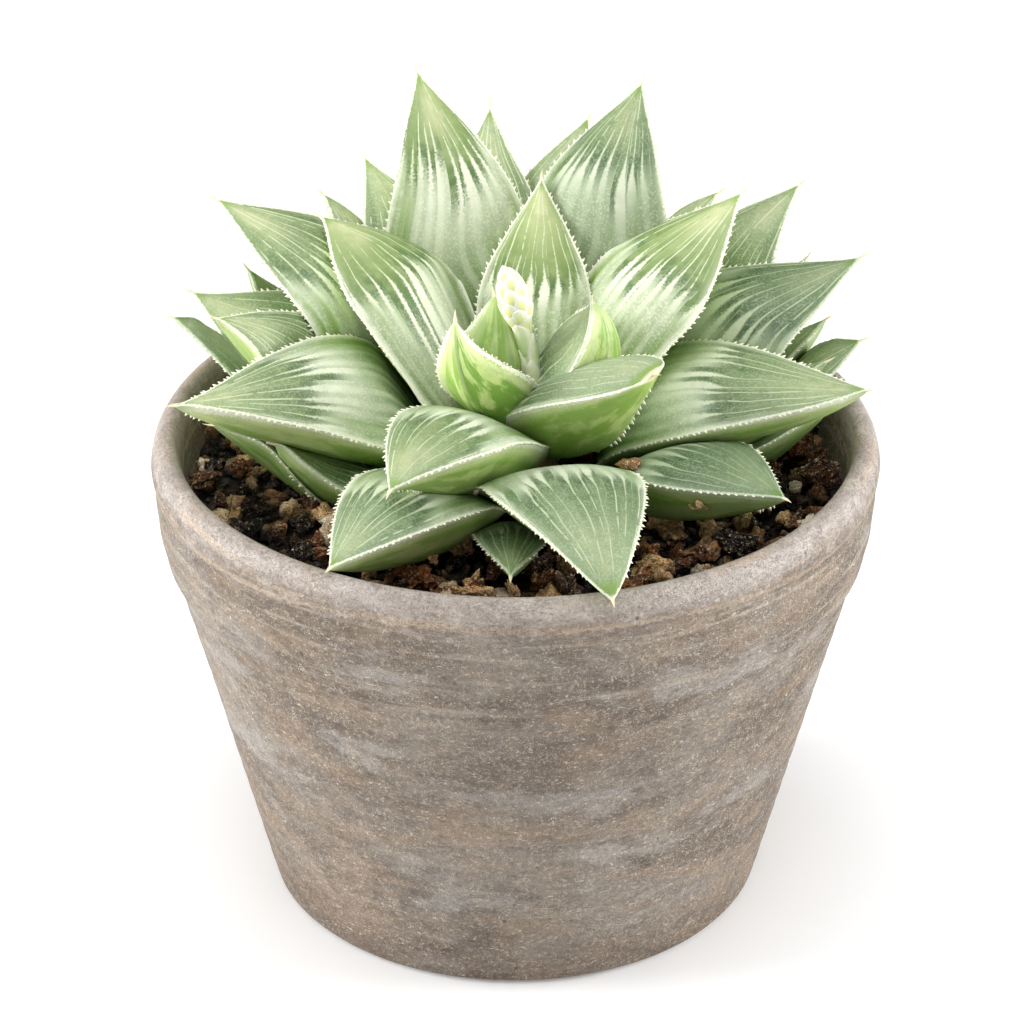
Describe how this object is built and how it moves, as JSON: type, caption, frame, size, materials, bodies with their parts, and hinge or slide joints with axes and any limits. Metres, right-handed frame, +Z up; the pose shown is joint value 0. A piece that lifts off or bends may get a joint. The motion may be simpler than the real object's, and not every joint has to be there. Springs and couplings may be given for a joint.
{
  "type": "potted haworthia",
  "caption": "Haworthia rosette with toothed, veined leaves and a young flower spike, growing in gritty potting mix in a round matt stoneware pot.",
  "frame": {"origin": "middle of the pot's base, on the surface that it stands on", "axes": "+Z up through the rosette, +X to the right and -Y to the front, where the leaves on the rim lean lowest"},
  "size_m": [0.1001, 0.101, 0.1096],
  "materials": {
    "stoneware": "matte",
    "potting_mix": "matte",
    "stem": "matte",
    "flower_spike": "satin",
    "leaf": "satin",
    "leaf_skirt": "satin"
  },
  "bodies": {
    "root": {"pot": "stoneware", "soil": "potting_mix", "stem": "stem", "flower_spike": "flower_spike", "leaf_01": "leaf", "leaf_02": "leaf", "leaf_03": "leaf", "leaf_04": "leaf", "leaf_05": "leaf", "leaf_06": "leaf", "leaf_07": "leaf", "leaf_08": "leaf", "leaf_09": "leaf", "leaf_10": "leaf", "leaf_11": "leaf", "leaf_12": "leaf", "leaf_13": "leaf", "leaf_14": "leaf", "leaf_15": "leaf", "leaf_16": "leaf", "leaf_17": "leaf", "leaf_18": "leaf", "leaf_19": "leaf", "leaf_20": "leaf", "leaf_21": "leaf", "leaf_22": "leaf", "leaf_23": "leaf", "leaf_24": "leaf", "leaf_25": "leaf", "leaf_26": "leaf", "leaf_27": "leaf_skirt", "leaf_28": "leaf_skirt", "leaf_29": "leaf_skirt", "leaf_30": "leaf_skirt", "leaf_31": "leaf_skirt", "leaf_32": "leaf_skirt", "leaf_33": "leaf_skirt", "leaf_34": "leaf_skirt", "leaf_35": "leaf_skirt", "leaf_36": "leaf_skirt", "leaf_37": "leaf_skirt", "leaf_38": "leaf_skirt", "leaf_39": "leaf_skirt", "leaf_40": "leaf_skirt", "leaf_41": "leaf_skirt"}
  },
  "joints": []
}
